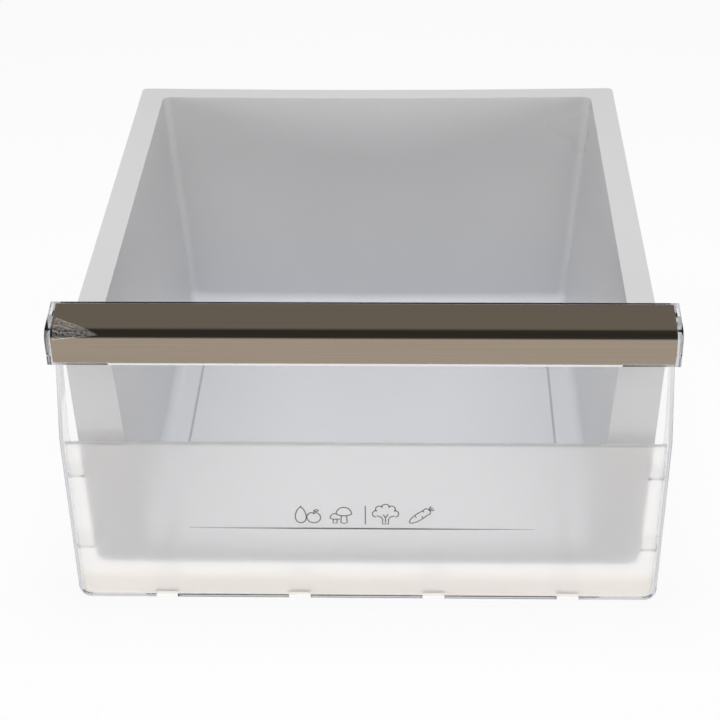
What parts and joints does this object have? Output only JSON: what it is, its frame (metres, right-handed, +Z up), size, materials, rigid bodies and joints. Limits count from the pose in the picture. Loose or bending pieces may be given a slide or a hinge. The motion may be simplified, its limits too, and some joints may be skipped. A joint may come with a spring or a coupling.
{
  "type": "fridge crisper drawer",
  "caption": "Open-topped moulded fridge drawer with a drafted tub, flat side rails, a clear clip-fit front panel and a hooked handle nose dressed with a brushed metal-look trim.",
  "frame": {"origin": "middle of the base of the bounding box, on the surface that the runners stand on", "axes": "+X to the right of a person facing the front, +Y from the front panel to the back wall, +Z up"},
  "size_m": [0.4024, 0.4171, 0.2229],
  "materials": {
    "tub_plastic": "satin moulded pale grey",
    "clear_plastic": "clear, glossy, frosted print on the lower face",
    "brushed_trim": "metallised, finely brushed, warm grey"
  },
  "bodies": {
    "root": {"tub": "tub_plastic", "front_panel": "clear_plastic", "handle_trim": "brushed_trim"}
  },
  "joints": []
}
